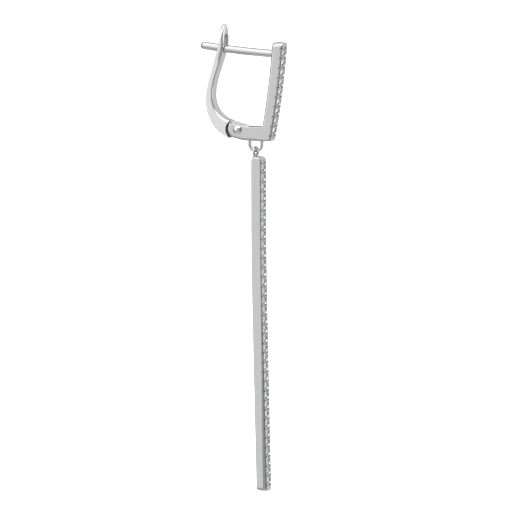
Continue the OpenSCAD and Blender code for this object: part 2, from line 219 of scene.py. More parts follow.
def resample(line, n):
    """The line's points again, n of them at equal steps along it."""
    step = np.r_[0, np.cumsum(np.linalg.norm(np.diff(line, axis=0), axis=1))]
    at = np.linspace(0, step[-1], n)
    return np.c_[np.interp(at, step, line[:, 0]), np.interp(at, step, line[:, 1])]


def arc_line(centre, r, start, end, n=40):
    """Points on a circle from one angle to another, in degrees."""
    angle = np.radians(np.linspace(start, end, n))
    return np.asarray(centre) + r * np.c_[np.cos(angle), np.sin(angle)]


def cubic(a, b, c, d, n=60):
    """Cubic curve from a to d, which starts towards b and arrives from c."""
    t = np.linspace(0, 1, n)[:, None]
    s = 1 - t
    return s**3 * a + 3 * s * s * t * b + 3 * s * t * t * c + t**3 * d

# %% [markdown]
# ## The stone face
# On the real bars each stone sits in a conical seat cut into the metal. The rails beside it are cut down
# with a narrow notch between the stones, and the setter has pushed up a small round bead of metal over
# each stone's edge. The seats could be cut with booleans, one by one. Written as a height over the flat
# face instead, all of them come from a few lines, and every edge can be as soft as polished metal.

# %% Sizes of a seat, the channel and a bead, in millimetres
SEAT_R, RIM_DEEP, RIM_SOFT = 0.6, 0.16, 0.06        # a step down at the rim of each seat
LEDGE, SEAT_SLOPE = 0.05, 0.95                      # then a ledge, and a cone below it
CHANNEL_HALF, CHANNEL_DEEP, CHANNEL_SOFT = 0.42, 0.12, 0.25
BALL_R, BALL_OUT, BALL_SUNK = 0.19, 0.6, 0.55       # radius, distance from the middle line, share sunk
NOTCH_HALF, NOTCH_SOFT = 0.19, 0.05
PAST_ROW, END_SOFT = 0.22, 0.06                     # how far the cut face runs past the last stone
print("a seat is", 2 * SEAT_R, "mm wide for a stone of", STONE_D, "mm")

# %% Height of the metal over the stone face
def stone_face(along, across, stones, pitch, notch, reach):
    """Height over the plain face at a distance along the row and across it, in millimetres.

    seat: a cone below the rim of each stone; channel: a low place between stones on the middle line;
    notch: a round groove in each rail, half way between stones; bead: the top of a ball beside each notch.
    """
    last = (stones - 1) / 2
    shift = 0.5 * (1 - stones % 2)
    nearest = np.clip(np.round(along / pitch - shift) + shift, -last, last)
    past = along - nearest * pitch
    edge = pitch / 2 - np.abs(past)
    side = np.abs(across)
    rim = SEAT_R - np.hypot(past, across)
    seat = -RIM_DEEP * smooth_step(rim / RIM_SOFT) - SEAT_SLOPE * np.clip(rim - LEDGE, 0, None)
    channel = -CHANNEL_DEEP * smooth_step((CHANNEL_HALF - side) / CHANNEL_SOFT)
    groove = notch * np.sqrt(np.clip(1 - (edge / NOTCH_HALF) ** 2, 0, 1))
    groove = groove * smooth_step((side - SEAT_R) / NOTCH_SOFT)
    height = np.minimum(np.minimum(seat, channel), -groove)
    ball = BALL_R**2 - edge**2 - (side - BALL_OUT) ** 2
    bead = np.sqrt(np.clip(ball, 0, None)) - BALL_R * BALL_SUNK
    height = np.where(ball > 0, np.maximum(height, bead), height)
    return height * smooth_step((reach - np.abs(along)) / END_SOFT)

# %% [markdown]
# The rails beside the stones are rolled and filed, so the sides of a bar lean in towards the stones. Low
# on the hanging bar the roll is wide and shows as a darker band. It is worked out together with the stone
# face, because the face has to know where the sides have gone.

# %% Sides of a bar, with the stone face on its front
ROLL_IN, ROLL_POWER = 0.4, 1.5
FRONT_FADE, BACK_FADE = 0.9, 0.5       # how far from its edge a filed slope begins
FACE_DOWN, FACE_SOFT = 0.55, 0.5       # where the height of the stone face has faded out


def carve(along, stones, pitch, notch, roll, front_draw, back_draw):
    """Relief for between_rails: draws the sides in, then adds the height of the face.

    roll is the width of the roll at the front edge of each row. The sides turn in by a share of it, times
    a power of the share of the way up the roll. front_draw and back_draw are how far the sides are filed
    away at their front and back edges, fading as a square. The height fades out down the sides, so that no
    face folds over.
    """
    reach = (stones / 2 + PAST_ROW) * pitch

    def relief(a, b, high):
        below = a - high
        turned = np.clip(1 + below / roll[:, None], 0, 1)
        drawn = ROLL_IN * roll[:, None] * turned**ROLL_POWER
        drawn = drawn + front_draw * np.clip(1 + below / FRONT_FADE, 0, 1) ** 2
        drawn = drawn + back_draw[:, None] * np.clip(1 - (a + high) / BACK_FADE, 0, 1) ** 2
        b = b * (1 - drawn / BAR_HALF)
        height = stone_face(along[:, None], b, stones, pitch, notch, reach)
        return a + height * smooth_step((below + FACE_DOWN) / FACE_SOFT), b

    return relief

# %% [markdown]
# ## Rounded ends
# A bar's end is rounded more across than from front to back, as a file leaves it. Its last sections are
# drawn in along quarter circles, and one last section of no width closes the flat that is left.

# %% Rows of a bar with rounded ends
END_ZONE, END_ROWS = 0.7, 11                                # closer rows near each end
STONE_EDGE, MEETING_EDGE, BARE_SOFT = 0.07, 0.008, 0.4      # radii of the edges, and how they change over


def drawn_in(from_end, r):
    """Inset at a distance from the end: a quarter circle, r minus the root of r² - (r - distance)²."""
    left = np.clip(r - from_end, 0, r)
    return r - np.sqrt(r * r - left * left)


def make_bar(name, face, depth, top, low, step, ends, stones, pitch, notch, roll, bare_from, edge, draws):
    """Bar between its face line and a back line at its depth, with the stone face cut into the front.

    ends holds the radii (across, front, back) of the top end and then of the low end. roll gives the width
    of the roll at a height, and draws the depths filed off the sides at their front and back edges. Above
    the height bare_from the back edges are rounded by edge; below it something else meets them.
    """
    turn = np.linspace(0, np.pi / 2, END_ROWS)
    near = END_ZONE * (1 - np.cos(turn))
    between = np.linspace(top - END_ZONE, low + END_ZONE, int((top - low) / step))[1:-1]
    z = np.r_[top - near, between, (low + near)[::-1]]
    z = np.r_[z[0], z, z[-1]]
    insets = [drawn_in(top - z, up) + drawn_in(z - low, down) for up, down in zip(*ends)]
    half = BAR_HALF - insets[0]
    half[[0, -1]] = 0.0
    x = face(z)
    outer = np.c_[x - insets[1], z]
    inner = np.c_[x - depth + insets[2], z]
    bare = smooth_step((z - bare_from) / BARE_SOFT)
    relief = carve(z - (top + low) / 2, stones, pitch, notch, roll(z), draws[0], draws[1] * bare)
    back_edge = MEETING_EDGE + (edge - MEETING_EDGE) * bare
    grid = between_rails(inner, outer, half, back_edge, STONE_EDGE, relief=relief,
                         loop=section(front=47, side=21, back=9))
    return weld(skin(name, grid), 50)

# %% [markdown]
# ### The front bar and the hanging bar
# The front bar leans forward and is bowed a little, which a parabola gives. The hanging bar falls plumb
# for its upper third and then slants forward after a soft bend. That is the average of a straight ramp
# and its rounded absolute value, the same line as in the CAD model.

# %% Face lines and the two bars
def front_face(z):
    """Gap and depth, plus the lean times the height, plus a parabola that is zero at both ends."""
    def bulge(h):
        share = (h - ARM_LOW) / (FRONT_TOP - ARM_LOW)
        return 4 * FRONT_BOW * share * (1 - share)
    return FRONT_GAP + FRONT_DEPTH + z * np.tan(FRONT_LEAN) + bulge(z) - bulge(0)


def soft_ramp(t):
    """Nearly zero below zero, nearly t above it: the mean of t and the root of t² plus a small square."""
    return (t + np.hypot(t, BEND_SHARE)) / 2


def drop_face(z):
    """Plumb line plus the sweep times the soft ramp, scaled to run from zero at the top to one below."""
    t = (DROP_TOP - z) / DROP_LEN - PLUMB_SHARE
    full = soft_ramp(1 - PLUMB_SHARE) - soft_ramp(-PLUMB_SHARE)
    return DROP_BACK + DROP_DEPTH + DROP_SWEEP * (soft_ramp(t) - soft_ramp(-PLUMB_SHARE)) / full


def front_roll(z):
    """Width of the roll on the front bar: the same all the way."""
    return np.full(len(z), 0.14)


def drop_roll(z):
    """Width of the roll on the hanging bar: a soft step from narrow at the top to wide at its foot."""
    return 0.12 + 0.34 * smooth_step(((DROP_TOP - z) / DROP_LEN - PLUMB_SHARE) / (1 - PLUMB_SHARE))


front_bar = make_bar(
    "front_bar", front_face, FRONT_DEPTH, FRONT_TOP, ARM_LOW, step=0.036,
    ends=[(0.55, 0.22, 0.3), (0.3, 0.3, 0.1)], stones=FRONT_STONES, pitch=FRONT_PITCH, notch=0.1,
    roll=front_roll, bare_from=ARM_TOP, edge=0.3, draws=(0.054, 0.03))
hanging_bar = make_bar(
    "hanging_bar", drop_face, DROP_DEPTH, DROP_TOP, DROP_LOW, step=0.052,
    ends=[(0.24, 0.62, 0.55), (0.5, 0.15, 0.3)], stones=DROP_STONES, pitch=DROP_PITCH, notch=0.03,
    roll=drop_roll, bare_from=DROP_LOW - 1, edge=0.17, draws=(0.0, 0.0))

# %% [markdown]
# ## The arm and its two cheeks
# Under the ear an arm runs back from the front bar and ends in two round cheeks that hold the lever
# between them. It is one strip between a top and a bottom line, with its end bent round the pin. The slot
# for the lever is then cut with a Boolean, which keeps its walls flat and square as a saw leaves them.

# %% Cutting with a tool shape
def cut(obj, tool):
    """Takes the tool's shape away from the object and deletes the tool."""
    modifier = obj.modifiers.new("cut", "BOOLEAN")
    modifier.operation = "DIFFERENCE"
    modifier.solver = "EXACT"
    modifier.object = tool
    graph = bpy.context.evaluated_depsgraph_get()
    result = bpy.data.meshes.new_from_object(obj.evaluated_get(graph))
    obj.modifiers.clear()
    obj.data = result
    bpy.data.objects.remove(tool)
    return obj


def prism(name, outline, axis, half):
    """Closed block: an outline in two axes, carried half a width to both sides along the third."""
    n = len(outline)
    sides = np.array([-half, -half, half, half])
    shrink = np.array([0.0, 1.0, 1.0, 0.0])
    middle = outline.mean(0)
    flat = middle + (outline - middle) * shrink[:, None, None]
    rows = np.insert(flat, axis, np.broadcast_to(sides[:, None], (4, n)), axis=2)
    return weld(skin(name, rows), 30)

# %% [markdown]
# ### Closing the end of a strip
# A strip has open ends, and a file breaks their edges. A few more rows follow a small quarter circle
# inwards, and a last row of no width closes what is left.

# %% Ends with a small round edge
def close_ends(rails, half, others, radius, which=(0, -1)):
    """Gives an end a small quarter-round edge, then a section of no width that closes it.

    rails is the pair of edge lines. others are further values for each row, which are held at the end.
    """
    turn = np.linspace(0, np.pi / 2, 6)[1:]
    drawn = radius * (1 - np.cos(turn))
    ahead = radius * (np.sin(turn) - 1)
    inner, outer = rails
    for end in which:
        beside = -2 if end else 1
        away = (inner[end] + outer[end] - inner[beside] - outer[beside]) / 2
        away = away / np.linalg.norm(away)
        rung = (outer[end] - inner[end]) / np.linalg.norm(outer[end] - inner[end])
        keep = np.linalg.norm((inner + outer - inner[end] - outer[end]) / 2, axis=1) > radius
        more = [inner[end] + ahead[:, None] * away + drawn[:, None] * rung,
                outer[end] + ahead[:, None] * away - drawn[:, None] * rung,
                half[end] - drawn, *(np.full(len(turn), value[end]) for value in others)]
        more = [np.concatenate([m, m[-1:]]) for m in more]
        more[2][-1] = 0.0
        kept = [value[keep] for value in (inner, outer, half, *others)]
        if end == 0:
            inner, outer, half, *others = (np.concatenate([m[::-1], k]) for m, k in zip(more, kept))
        else:
            inner, outer, half, *others = (np.concatenate([k, m]) for m, k in zip(more, kept))
    return inner, outer, half, *others

# %% [markdown]
# ### The arm's own lines
# Its top and bottom lines run straight from the bar and meet the cheek's arc round the pin. Averaging
# neighbouring points softens the corner where they turn. Where the arm is hidden in the front bar's foot
# it is a hair smaller than the foot, so that two polished faces never lie in one place.

# %% The arm
def soften(line, n):
    """The line with each point replaced by the mean of the n points round it; its ends are held."""
    before, after = line[n // 2:0:-1], line[-2:-2 - n // 2:-1]
    padded = np.concatenate([2 * line[:1] - before, line, 2 * line[-1:] - after])
    return np.stack([np.convolve(padded[:, k], np.full(n, 1 / n), "valid") for k in (0, 1)], 1)


def end_bow(start, end, r):
    """Height of a circle's arc over the chord between two of its points."""
    chord = np.linalg.norm(np.asarray(end) - start) / 2
    return r - np.sqrt(r * r - chord * chord)


ARM_FRONT, ARM_ROWS = 2.75, 90                  # it ends inside the front bar
FOOT_BACK, FLUSH, HAIR = 1.82, 0.001, 0.008     # back of the bar's foot, and two hair's breadths
CHEEK_FILED, CHEEK_FLAT, CHEEK_RUN = 0.13, -1.6, 0.85      # the cheeks slope in behind their flat part
UNDER_IN, UNDER_FROM = 0.13, 1.9                # share by which the flanks turn in below, and from where
ARM_EDGE, ARM_UNDER_EDGE = 0.09, 0.3
knuckle_top = np.degrees(np.arcsin((KNUCKLE + ARM_TOP - PIN[1]) / CHEEK_R))
knuckle_low = np.degrees(np.arcsin((PIN[1] - ARM_LOW - KNUCKLE) / CHEEK_R))
cheek = arc_line(PIN, CHEEK_R, 180 - knuckle_top, 180 + knuckle_low)
notch_x = PIN[0] + 0.9 * CHEEK_R
arm_upper = resample(np.array([[ARM_FRONT, ARM_TOP], [notch_x, ARM_TOP], cheek[0]]), ARM_ROWS)
under_cheek = [PIN[0] + CHEEK_R / 2, ARM_LOW]
arm_lower = resample(np.array([[ARM_FRONT, ARM_LOW], under_cheek, cheek[-1]]), ARM_ROWS)
arm_upper, arm_lower = soften(arm_upper, 5), soften(arm_lower, 13)
arm_share = np.linspace(0, 1, ARM_ROWS)
bow = -end_bow(cheek[0], cheek[-1], CHEEK_R) * smooth_step((arm_share - 0.45) / 0.55)
arm_x = (arm_upper[:, 0] + arm_lower[:, 0]) / 2
hidden = smooth_step((arm_x - FOOT_BACK) / 0.1)
arm_lower[:, 1] += HAIR * hidden
filed = CHEEK_FILED * np.clip((CHEEK_FLAT - arm_x) / CHEEK_RUN, 0, 1) ** 2
arm_half = BAR_HALF - FLUSH - (HAIR - FLUSH) * hidden - filed
under = UNDER_IN * smooth_step(UNDER_FROM - arm_x)
upper, lower, half, bow, under = close_ends((arm_upper, arm_lower), arm_half, [bow, under], ARM_EDGE)


def turned_under(a, b, high):
    """Relief for between_rails: the flanks turn in below their upper quarter, as a square."""
    return a, b * (1 - under[:, None] * np.clip((a / high + 0.5) / 1.5, 0, 1) ** 2)


arm = weld(skin("arm", between_rails(
    upper, lower, half, ARM_EDGE, ARM_UNDER_EDGE, bow=bow, relief=turned_under,
    loop=section(front=7, side=17, corner=7))), 40)

# %% The fork for the lever's tongue
FORK_OUT, FORK_UP, FORK_PLAY = 4, 2.5, 0.05
slot_r = np.hypot(notch_x - PIN[0], KNUCKLE + ARM_TOP - PIN[1]) + HINGE_GAP / 2
fork_end = [[PIN[0] - FORK_OUT, PIN[1] + FORK_UP], [PIN[0] - FORK_OUT, PIN[1] - FORK_UP]]
fork = np.r_[arc_line(PIN, slot_r, -80, 80), fork_end]
arm = weld(cut(arm, prism("fork", fork, 1, TONGUE_HALF + FORK_PLAY)), 40)

# %% [markdown]
# ## The lever
# The lever is one forged strip: thick at its belly, thin at the paddle, with a long slot that the post
# passes through. Its two side lines are arcs round the lower bend that run on into slow curves up to the
# paddle. From the front it widens towards the top and ends in a pointed arch.

# %% Side lines and width of the lever
HIP_OUT = BELLY + [BEND_OUT, 0]
HIP_IN = BELLY + [BELLY_T + BEND_IN, BELLY_LIFT]
PADDLE_Z = LEVER_TOP - 1.6
SHOULDER_R = CHEEK_R + HINGE_GAP
NARROW_RUN, WIDEN_FROM, WIDEN_RUN = 4, -2.2, 3.4      # heights over which it narrows and widens
ARCH_TALL, ARCH_POWER = PADDLE_HALF * 1.72, 0.75      # the pointed arch of the paddle


def lever_line(hip, r, x_belly, x_paddle, rise, fall, last_angle):
    """From the hinge: an arc round the bend, then a cubic up to the paddle, then straight to the tip."""
    reach = PADDLE_Z - hip[1]
    bend = arc_line(hip, r, last_angle, 180, 160)
    slow = cubic(np.array([x_belly, hip[1]]), np.array([x_belly, hip[1] + rise * reach]),
                 np.array([x_paddle, PADDLE_Z - fall * reach]), np.array([x_paddle, PADDLE_Z]))
    line = np.concatenate([bend, slow[1:], [[x_paddle, LEVER_TOP]]])
    return line[np.linalg.norm(line - PIN, axis=1) >= SHOULDER_R - 0.01]


def lever_half(z):
    """Half width: slim along the strap, wider at the paddle, and a pointed arch over its top."""
    low = BAR_HALF + (STRAP_HALF - BAR_HALF) * smooth_step((z - PIN[1]) / NARROW_RUN)
    wide = low + (PADDLE_HALF - STRAP_HALF) * smooth_step((z - WIDEN_FROM) / WIDEN_RUN)
    arch = np.clip((z - LEVER_TOP + ARCH_TALL) / ARCH_TALL, 0, 1)
    return wide * np.power(1 - arch**2, ARCH_POWER)

# %% Rows of the lever
ROWS, TIP_ROUND, TIP_THIN, HINGE_SHARE = 260, 0.3, 0.2, 0.25
lever_out = resample(lever_line(
    HIP_OUT, BEND_OUT, BELLY[0], PADDLE_X, rise=0.33, fall=0.21, last_angle=250.5), ROWS)
lever_in = resample(lever_line(
    HIP_IN, BEND_IN, BELLY[0] + BELLY_T, PADDLE_X + PADDLE_T, rise=0.37, fall=0.42, last_angle=262), ROWS)
middle_z = (lever_out[:, 1] + lever_in[:, 1]) / 2
lever_w = lever_half(middle_z)
near_hinge = 1 - smooth_step(np.linspace(0, 1, ROWS) / HINGE_SHARE)
hinge_bow = -end_bow(lever_in[0], lever_out[0], SHOULDER_R) * near_hinge
to_tip = np.clip((middle_z - LEVER_TOP + TIP_ROUND) / TIP_ROUND, 0, 1)
thin = np.minimum(0.5 * PADDLE_T * (1 - np.sqrt(1 - to_tip**2)), TIP_THIN)[:, None]
rung = (lever_out - lever_in) / np.linalg.norm(lever_out - lever_in, axis=1)[:, None]
lever_out = lever_out - rung * thin
lever_in = lever_in + rung * thin
print("lever width at the belly:", round(float(lever_w[np.argmin(lever_out[:, 0])] * 2), 2), "mm")

# %% [markdown]
# ### The strap
# Its flanks bulge by a hair and the inner face of the paddle is a little hollow, which is what makes long
# soft highlights run along the real one. The slot is cut last, so that its walls stay square.

# %% The strap and its slot for the post
lever_w[-1] = 0.0
strap_round = np.interp(middle_z, [-9, -2, 2], [0.26, 0.2, 0.19])
paddle_share = smooth_step((middle_z - 0.2) / 1.4)
inner, outer, half, bow, edge, hollow = close_ends(
    (lever_in, lever_out), lever_w, [hinge_bow, strap_round, paddle_share], 0.06, which=(0,))
FLANK_BULGE, FACE_HOLLOW = 0.022, 0.075


def crown(flank, face):
    """Relief for between_rails: squares draw in the flanks' edges and raise the inner face's edges."""
    def relief(a, b, high):
        reach = np.abs(b).max(1, keepdims=True) + 1e-9
        inside = smooth_step(-a / high * 2)
        a = a + face * inside * (b / reach) ** 2
        return a, b * (1 - flank / BAR_HALF * (a / high) ** 2)
    return relief


strap = weld(skin("lever_strap", between_rails(
    inner, outer, half, edge, 0.8 * edge, bow=bow, loop=section(front=13, side=13, corner=7),
    relief=crown(FLANK_BULGE, FACE_HOLLOW * hollow[:, None]))))
SLOT_RUN = 1.4
slot_low = -PADDLE_X * np.tan(POST_TILT)
slot_high = slot_low + POST_R + SLOT_RUN - SLOT_HALF
slot_outline = np.r_[
    arc_line([0, slot_high], SLOT_HALF, 0, 180), arc_line([0, slot_low], SLOT_HALF, 180, 360)]
post_slot = prism("post_slot", slot_outline, 0, 1.0)
post_slot.data.vertices.foreach_get("co", shift := np.zeros(len(post_slot.data.vertices) * 3, np.float32))
shift[0::3] += PADDLE_X * MM
post_slot.data.vertices.foreach_set("co", shift)
strap = weld(cut(strap, post_slot), 40)

# %% [markdown]
# ### The tongue
# Between the cheeks the lever is thinner: a tongue with an eye for the pin, and a heel in front of it
# that rests on the arm and stops the lever. Its top follows the lever's inner line.

# %% The tongue between the cheeks
TONGUE_ROWS, TONGUE_EDGE, ROOT_ANGLE = 60, 0.06, np.radians(244)
HEEL_AHEAD, HEEL_UP = 1.35, 0.05
eye_r = ARM_TOP - PIN[1] + KNUCKLE * 0.95
heel = np.array([PIN[0] + HEEL_AHEAD, ARM_TOP + HEEL_UP])
tongue_top = resample(np.r_[arc_line(HIP_IN, BEND_IN + 0.02, 235, 262, 12), [heel]], TONGUE_ROWS)
root = HIP_OUT + (BEND_OUT - PADDLE_T / 2) * np.array([np.cos(ROOT_ANGLE), np.sin(ROOT_ANGLE)])
under_eye = arc_line(PIN, eye_r, -120, -10)
tongue_low = resample(np.r_[[root], under_eye, [heel - [0, eye_r / 2]]], TONGUE_ROWS)
upper, lower, half = close_ends(
    (tongue_top, tongue_low), np.full(TONGUE_ROWS, TONGUE_HALF), [], 0.05)
tongue = weld(skin("lever_tongue", between_rails(upper, lower, half, TONGUE_EDGE, TONGUE_EDGE)), 40)

# %% [markdown]
# ## Wires: the post, the half ring and the loop
# A drawn wire is a section carried along a path. The path gives a direction at each row, and the section
# is laid out at right angles to it. The half ring and the loop are flat bands with round corners. An end
# is closed by a row of no size.

# %% Wire along a path
ROUND = 40
ACROSS = np.array([0, 1.0, 0])


def wire(path, side, flat_a, flat_b):
    """Grid of points: each row is the section laid out on the path's normal and on a side direction.

    flat_a and flat_b are the section's coordinates: one row for each row of the path, or one for all.
    """
    direction = np.gradient(path, axis=0)
    direction /= np.linalg.norm(direction, axis=1)[:, None]
    side = np.broadcast_to(side, path.shape)
    normal = np.cross(direction, side)
    normal /= np.linalg.norm(normal, axis=1)[:, None]
    return path[:, None] + flat_a[..., None] * normal[:, None] + flat_b[..., None] * side[:, None]


def band(thick, wide, corner):
    """Section of a band: a rectangle with round corners, from its middle to each point."""
    angle = 2 * np.pi * (np.arange(ROUND) + 0.5) / ROUND
    a = np.sign(np.cos(angle)) * (thick / 2 - corner) + corner * np.cos(angle)
    b = np.sign(np.sin(angle)) * (wide / 2 - corner) + corner * np.sin(angle)
    return a, b

# %% The post
POST_ROWS = 60
NUDGE = 1e-4      # parts two rows in one place, so that the path has a direction there
post_centre = POST_BEND * np.array([np.sin(POST_TILT), np.cos(POST_TILT)])
base_angle = 270 - np.degrees(POST_TILT)
first = base_angle + np.degrees(np.arcsin((FRONT_GAP + FRONT_DEPTH / 2) / POST_BEND))
last = base_angle - np.degrees(np.arcsin((POST_TIP - POST_R) / POST_BEND))
line = arc_line(post_centre, POST_BEND, first, last, POST_ROWS)
tip_direction = (line[-1] - line[-2]) / np.linalg.norm(line[-1] - line[-2])
turn = np.linspace(0, np.pi / 2, 12)
tip = line[-1] + POST_R * np.sin(turn[1:])[:, None] * tip_direction
line = np.concatenate([line[:1], line, tip])
size = np.r_[0.0, np.full(POST_ROWS, POST_R), POST_R * np.cos(turn[1:])][:, None]
round_angle = 2 * np.pi * np.arange(ROUND) / ROUND
post_path = np.insert(line, 1, 0.0, axis=1)
post_path[0, 0] += NUDGE
post = weld(skin("post", wire(post_path, ACROSS, size * np.cos(round_angle), size * np.sin(round_angle))))

# %% The half ring under the arm
RING_ROWS, LEG_SUNK = 110, 0.35
ring_mid = RING_R - RING_T / 2
ring_centre = np.array([HANG_X, BAND_Z + ring_mid])
leg_top = ARM_LOW + LEG_SUNK
ring_line = np.r_[[[HANG_X - ring_mid, leg_top]], arc_line(ring_centre, ring_mid, 180, 360, 60),
                  [[HANG_X + ring_mid, leg_top]]]
ring_line = resample(ring_line, RING_ROWS)
thick, wide = band(RING_T, RING_W, corner=0.1)
grow = np.ones((RING_ROWS + 2, 1))
grow[[0, -1]] = 0.0
ring_path = np.insert(np.r_[ring_line[:1], ring_line, ring_line[-1:]], 1, 0.0, axis=1)
ring_path[[0, -1], 2] += NUDGE
half_ring = weld(skin("half_ring", wire(ring_path, ACROSS, grow * thick, grow * wide)))

# %% The loop of the hanging bar
turns = np.linspace(0, 2 * np.pi, 97)
loop_mid = (LOOP_OUT + LOOP_HOLE) / 2
around = np.c_[np.zeros(97), np.cos(turns), np.sin(turns)]
loop_path = np.array([HANG_X, 0, LOOP_Z]) + loop_mid * around
thick, wide = band(LOOP_OUT - LOOP_HOLE, LOOP_T, corner=0.13)
loop_grid = (loop_path[:, None] + thick[None, :, None] * around[:, None]
             + wide[None, :, None] * np.array([1.0, 0, 0]))
loop = weld(skin("loop", loop_grid))

# %% [markdown]
# ### The solder under the loop
# Where the loop is soldered to the bar, the metal flows into a small fillet. A foot that narrows upwards
# along a quarter circle makes that join, and hides the edge where two separate skins meet.

# %% Foot of the loop
FOOT_SUNK, FOOT_TALL = 0.25, 0.6
FOOT_NECK = np.array([0.17, 0.3])      # half sizes at the top, in X and Y
FOOT_FLARE = np.array([0.22, 0.3])     # how much wider it is at the bottom
climb = np.linspace(0, np.pi / 2, 12)[:, None]
foot_half = np.r_[[[0, 0]], FOOT_NECK + FOOT_FLARE * (1 - np.sin(climb)), [[0, 0]]]
foot_z = DROP_TOP - FOOT_SUNK + FOOT_TALL * np.r_[[[0]], np.sin(climb), [[1]]]
foot_grid = np.stack([
    HANG_X + foot_half[:, :1] * np.cos(round_angle), foot_half[:, 1:] * np.sin(round_angle),
    np.broadcast_to(foot_z, (len(foot_z), ROUND))], -1)
foot = weld(skin("loop_foot", foot_grid), 60)

# %% [markdown]
# ## The hinge pin
# The pin is a rivet with a polished dome on each cheek. A surface of revolution is the plainest grid of
# all: a profile of radius against height, turned round the pin's axis.

# %% Rivet
HEAD_SUNK = 0.04
dome_angle = np.linspace(np.pi / 2, 0, 16)
dome_r = HEAD_R * np.cos(dome_angle)
dome_y = HEAD_FACE + HEAD_H * np.sin(dome_angle)
under_head = np.full(2, HEAD_FACE - HEAD_SUNK)
one_side = np.c_[np.r_[dome_r, HEAD_R, PIN_R], np.r_[dome_y, under_head]]
profile = np.r_[one_side, one_side[::-1] * [1, -1]]
rivet_grid = np.stack([
    PIN[0] + profile[:, :1] * np.cos(round_angle), np.broadcast_to(profile[:, 1:], (len(profile), ROUND)),
    PIN[1] + profile[:, :1] * np.sin(round_angle)], -1)
rivet = weld(skin("rivet", rivet_grid), 35)

# %% [markdown]
# ## Brilliant-cut stones
# Each stone is a round brilliant: a flat table, stars, kites and girdle facets above, and a deep pavilion
# below. One stone is worked out once. The whole row is then a broadcast: the same corner points times
# each stone's two directions, plus its place. Facets stay flat-shaded, because the sparkle comes from
# their edges.

# %% One brilliant
def ring_points(r, z, n, turn=0.0):
    """Regular polygon of n points at a height, turned by a share of a step."""
    angle = 2 * np.pi * (np.arange(n) + turn) / n
    return np.c_[r * np.cos(angle), r * np.sin(angle), np.full(n, z)]


def brilliant(d):
    """Corner points and faces of a round brilliant of that diameter, with its girdle's top at height 0."""
    r, crown, pavilion, girdle = d / 2, 0.15 * d, 0.43 * d, 0.03 * d
    table, star, lower = 0.56 * r, 0.78 * r, 0.3 * r
    star_z = crown * (r - star * np.cos(np.pi / 8)) / (r - table)
    lower_z = -girdle - pavilion * (1 - lower * np.cos(np.pi / 8) / r)
    points = np.concatenate([
        ring_points(table, crown, 8), ring_points(star, star_z, 8, 0.5), ring_points(r, 0, 16),
        ring_points(r, -girdle, 16), ring_points(lower, lower_z, 8, 0.5), [[0, 0, -girdle - pavilion]]])
    k = np.arange(8)
    j = np.arange(16)
    nxt, prv, odd = (k + 1) % 8, (k + 7) % 8, (2 * k + 2) % 16
    table_cut = np.array([[0, 1, 2, 3], [0, 3, 4, 7], [4, 5, 6, 7]])
    quads = np.concatenate([
        table_cut,
        np.c_[k, 8 + k, 16 + 2 * k, 8 + prv],
        np.c_[16 + j, 32 + j, 32 + (j + 1) % 16, 16 + (j + 1) % 16],
        np.c_[56 + 0 * k, 48 + k, 32 + 2 * k, 48 + prv]])
    triangles = np.concatenate([
        np.c_[k, nxt, 8 + k],
        np.c_[8 + k, 16 + 2 * k + 1, 16 + 2 * k],
        np.c_[8 + k, 16 + odd, 16 + 2 * k + 1],
        np.c_[48 + k, 32 + 2 * k + 1, 32 + 2 * k],
        np.c_[48 + k, 32 + odd, 32 + 2 * k + 1]])
    return points, quads, triangles


def facet_list(points, quads, triangles):
    """Faces as corner lists, each turned so that it looks away from the stone's middle."""
    middle = np.array([0, 0, -0.15 * STONE_D])
    faces = []
    for group in (quads, triangles):
        corner = points[group]
        normal = np.cross(corner[:, 1] - corner[:, 0], corner[:, 2] - corner[:, 0])
        outward = ((corner.mean(1) - middle) * normal).sum(1) > 0
        faces.append(np.where(outward[:, None], group, group[:, ::-1]))
    return faces

# %% Rows of stones
def stone_row(name, face, stones, pitch, middle, near=0.2):
    """Stones along a face line, each tilted to the slope that the line has between two near heights."""
    z = middle + (np.arange(stones) - (stones - 1) / 2) * pitch
    tilt = np.arctan((face(z + near) - face(z - near)) / (2 * near))
    out = np.c_[np.cos(tilt), np.zeros(stones), -np.sin(tilt)]
    down = np.c_[-np.sin(tilt), np.zeros(stones), -np.cos(tilt)]
    place = np.c_[face(z), np.zeros(stones), z] - STONE_SINK * out
    points, quads, triangles = brilliant(STONE_D)
    quads, triangles = facet_list(points, quads, triangles)
    spread = (place[:, None] + points[None, :, :1] * down[:, None] + points[None, :, 1:2] * [0, 1, 0]
              + points[None, :, 2:] * out[:, None])
    step = (np.arange(stones) * len(points))[:, None, None]
    faces = (quads + step).reshape(-1, 4).tolist() + (triangles + step).reshape(-1, 3).tolist()
    mesh = bpy.data.meshes.new(name)
    mesh.from_pydata((spread.reshape(-1, 3) * MM).tolist(), [], faces)
    obj = bpy.data.objects.new(name, mesh)
    bpy.context.scene.collection.objects.link(obj)
    print(f"{name}: {stones} stones, {len(faces)} facets")
    return obj


front_gems = stone_row("front_gems", front_face, FRONT_STONES, FRONT_PITCH, (FRONT_TOP + ARM_LOW) / 2)
drop_gems = stone_row("drop_gems", drop_face, DROP_STONES, DROP_PITCH, (DROP_TOP + DROP_LOW) / 2)

# %% [markdown]
# ## Finishes
# Rhodium-plated silver is a mirror with fine hair scratches, so it is a metal with low roughness and a
# very shallow bump. The stones are clear and bend light strongly.

# %% Silver
def new_material(name, colour, metallic, roughness):
    """Principled material with its plain values on the shader's own sockets."""
    material = bpy.data.materials.new(name)
    material.use_nodes = True
    shader = material.node_tree.nodes["Principled BSDF"]
    shader.inputs["Base Color"].default_value = (*colour, 1)
    shader.inputs["Metallic"].default_value = metallic
    shader.inputs["Roughness"].default_value = roughness
    return material, shader


